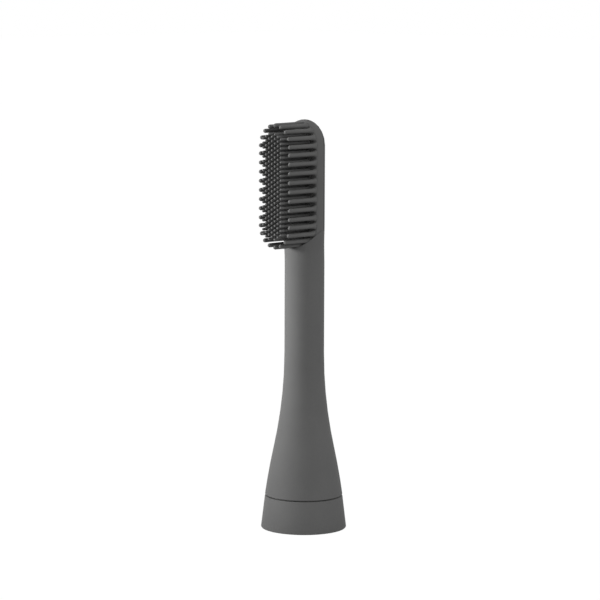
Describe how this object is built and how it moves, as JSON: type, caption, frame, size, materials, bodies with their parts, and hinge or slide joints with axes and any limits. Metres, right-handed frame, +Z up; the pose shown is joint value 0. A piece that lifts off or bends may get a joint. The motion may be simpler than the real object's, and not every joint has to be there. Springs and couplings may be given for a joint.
{
  "type": "electric toothbrush head",
  "caption": "Slim sonic toothbrush head: flared round neck, soft pad of fine bristles inside a ring of thicker ones, and a blind bore in the base for the handle's drive shaft.",
  "frame": {"origin": "middle of the base ring's lower face, on the neck axis", "axes": "+Z up the neck towards the head, bristles towards -Y, +X to the side"},
  "size_m": [0.0182, 0.019, 0.087],
  "materials": {
    "neck_body": "fine satin, dark grey",
    "bristle_pad": "soft matte, dark grey",
    "base_collar": "fine satin, dark grey",
    "drive_socket": "plain moulded, off-white",
    "retaining_spring": "plain spring strip"
  },
  "bodies": {
    "root": {"neck_body": "neck_body", "bristle_pad": "bristle_pad", "base_collar": "base_collar", "drive_socket": "drive_socket", "retaining_spring": "retaining_spring"}
  },
  "joints": []
}
